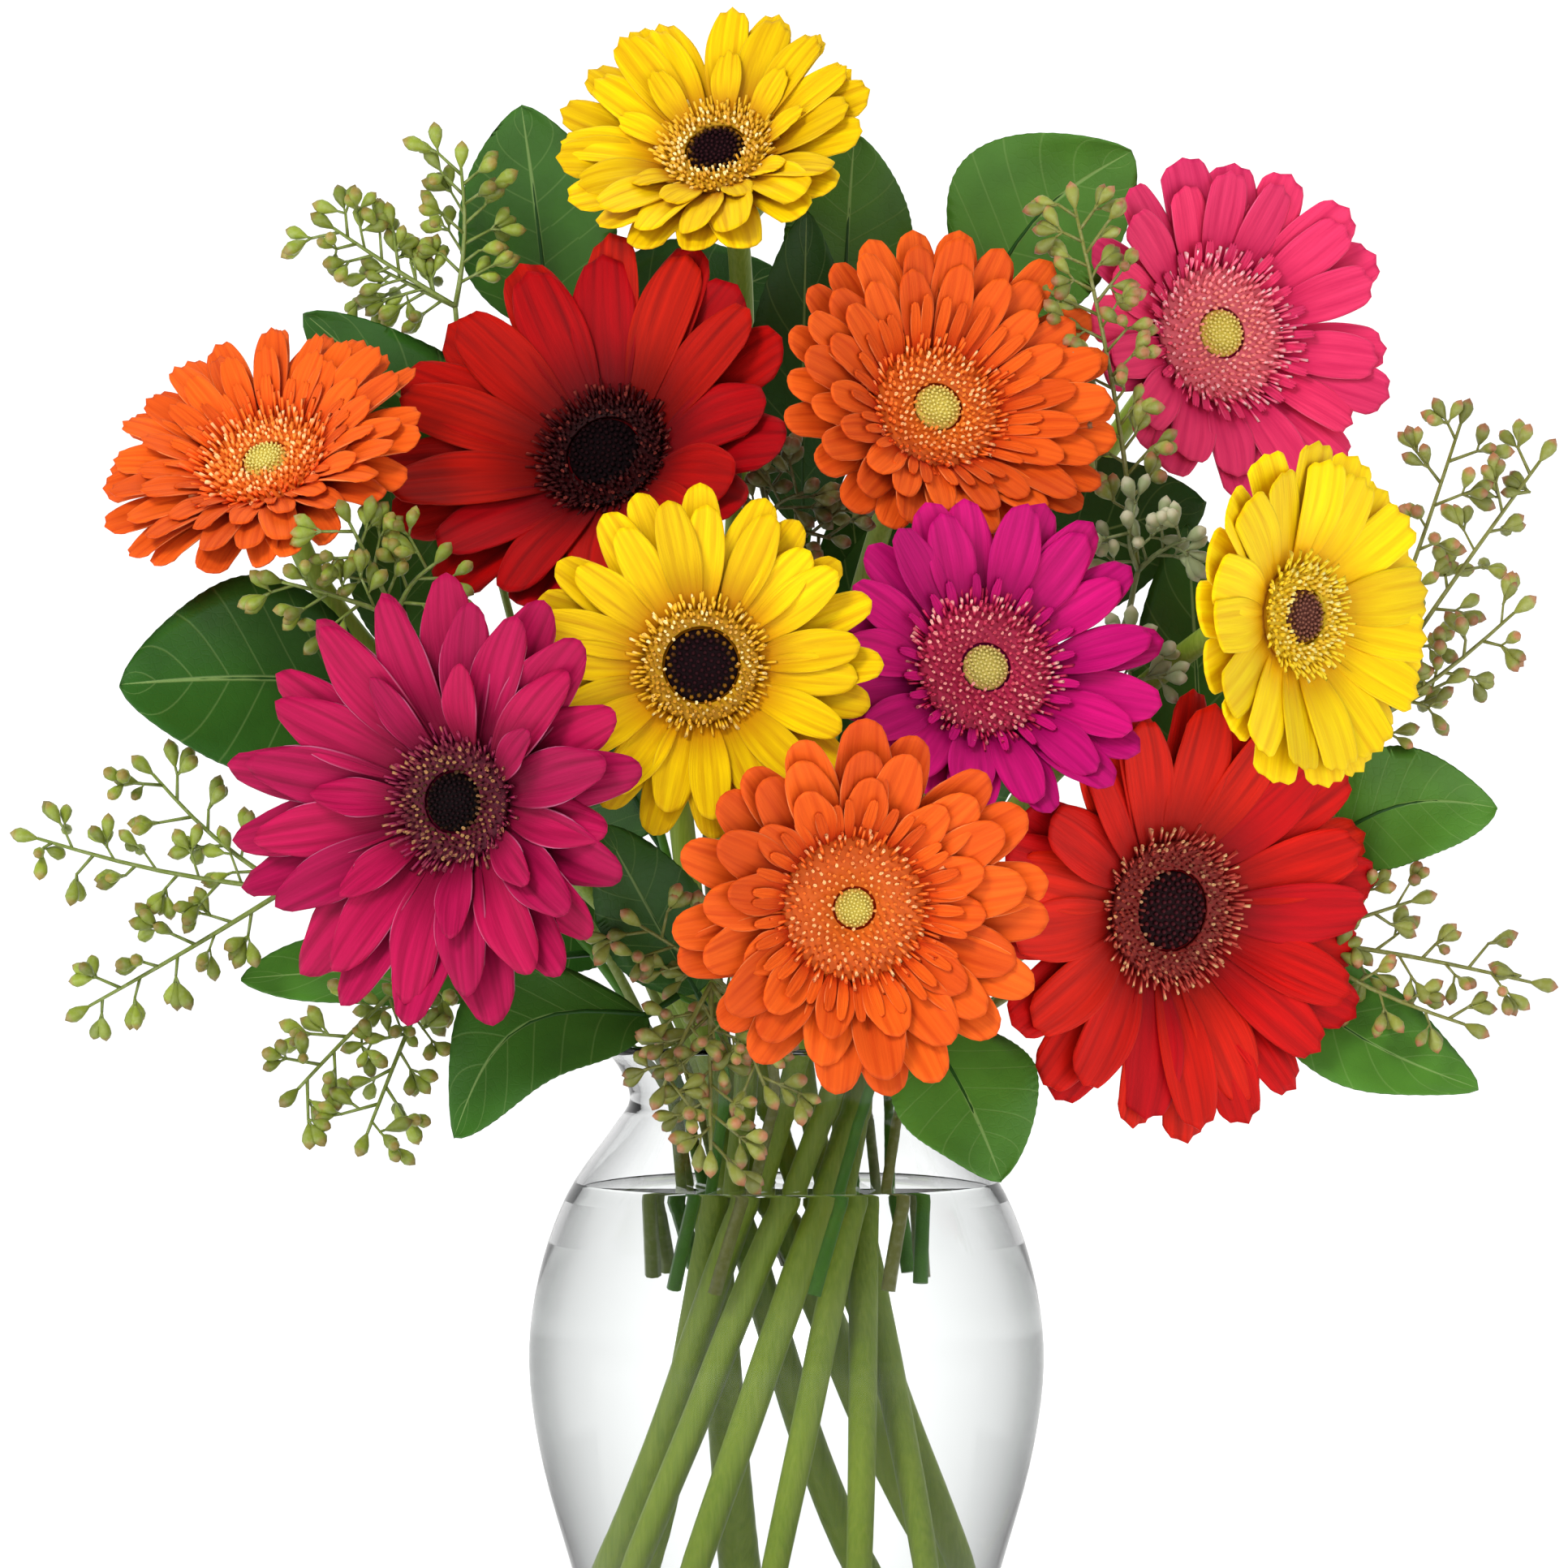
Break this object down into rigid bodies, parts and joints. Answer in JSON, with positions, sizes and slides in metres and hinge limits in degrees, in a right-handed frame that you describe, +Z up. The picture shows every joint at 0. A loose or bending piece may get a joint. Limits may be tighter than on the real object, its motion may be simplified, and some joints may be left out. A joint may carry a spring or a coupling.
{
  "type": "vase of cut gerberas",
  "caption": "Mixed gerbera daisies with lemon leaf and seeded eucalyptus, standing in a clear shouldered glass vase of water. A decorative bouquet.",
  "frame": {"origin": "centre of the vase's underside", "axes": "+Z up, the bouquet faces -Y, +X to the right seen from the front"},
  "size_m": [0.3792, 0.1903, 0.431],
  "materials": {
    "yellow_petal": "satin",
    "orange_petal": "satin",
    "red_petal": "satin",
    "raspberry_petal": "satin",
    "magenta_petal": "satin",
    "pink_petal": "satin",
    "gold_floret": "matte",
    "orange_floret": "matte",
    "maroon_floret": "matte",
    "pink_floret": "matte",
    "brown_floret": "matte",
    "dark_eye": "matte",
    "green_eye": "matte",
    "stem": "satin",
    "leaf": "satin",
    "capsule": "matte",
    "glass": "clear",
    "water": "clear"
  },
  "bodies": {
    "root": {"yellow_top_petals": "yellow_petal", "yellow_top_florets": "gold_floret", "yellow_top_eye": "dark_eye", "yellow_top_stem": "stem", "orange_left_petals": "orange_petal", "orange_left_florets": "orange_floret", "orange_left_eye": "green_eye", "orange_left_stem": "stem", "red_left_petals": "red_petal", "red_left_florets": "maroon_floret", "red_left_eye": "dark_eye", "red_left_stem": "stem", "orange_mid_petals": "orange_petal", "orange_mid_florets": "orange_floret", "orange_mid_eye": "green_eye", "orange_mid_stem": "stem", "pink_right_petals": "pink_petal", "pink_right_florets": "pink_floret", "pink_right_eye": "green_eye", "pink_right_stem": "stem", "magenta_left_petals": "raspberry_petal", "magenta_left_florets": "brown_floret", "magenta_left_eye": "dark_eye", "magenta_left_stem": "stem", "yellow_mid_petals": "yellow_petal", "yellow_mid_florets": "gold_floret", "yellow_mid_eye": "dark_eye", "yellow_mid_stem": "stem", "magenta_mid_petals": "magenta_petal", "magenta_mid_florets": "pink_floret", "magenta_mid_eye": "green_eye", "magenta_mid_stem": "stem", "yellow_right_petals": "yellow_petal", "yellow_right_florets": "gold_floret", "yellow_right_eye": "dark_eye", "yellow_right_stem": "stem", "orange_low_petals": "orange_petal", "orange_low_florets": "orange_floret", "orange_low_eye": "green_eye", "orange_low_stem": "stem", "red_right_petals": "red_petal", "red_right_florets": "maroon_floret", "red_right_eye": "dark_eye", "red_right_stem": "stem", "lemon_leaf_left": "leaf", "lemon_leaf_upper_left": "leaf", "lemon_leaf_top": "leaf", "lemon_leaf_upper_right": "leaf", "lemon_leaf_right": "leaf", "lemon_leaf_front_left": "leaf", "lemon_leaf_front_right": "leaf", "eucalyptus_upper_left": "capsule", "eucalyptus_left": "capsule", "eucalyptus_mid_left": "capsule", "eucalyptus_front": "capsule", "eucalyptus_centre": "capsule", "eucalyptus_mid_right": "capsule", "eucalyptus_right": "capsule", "vase": "glass", "water": "water"}
  },
  "joints": []
}
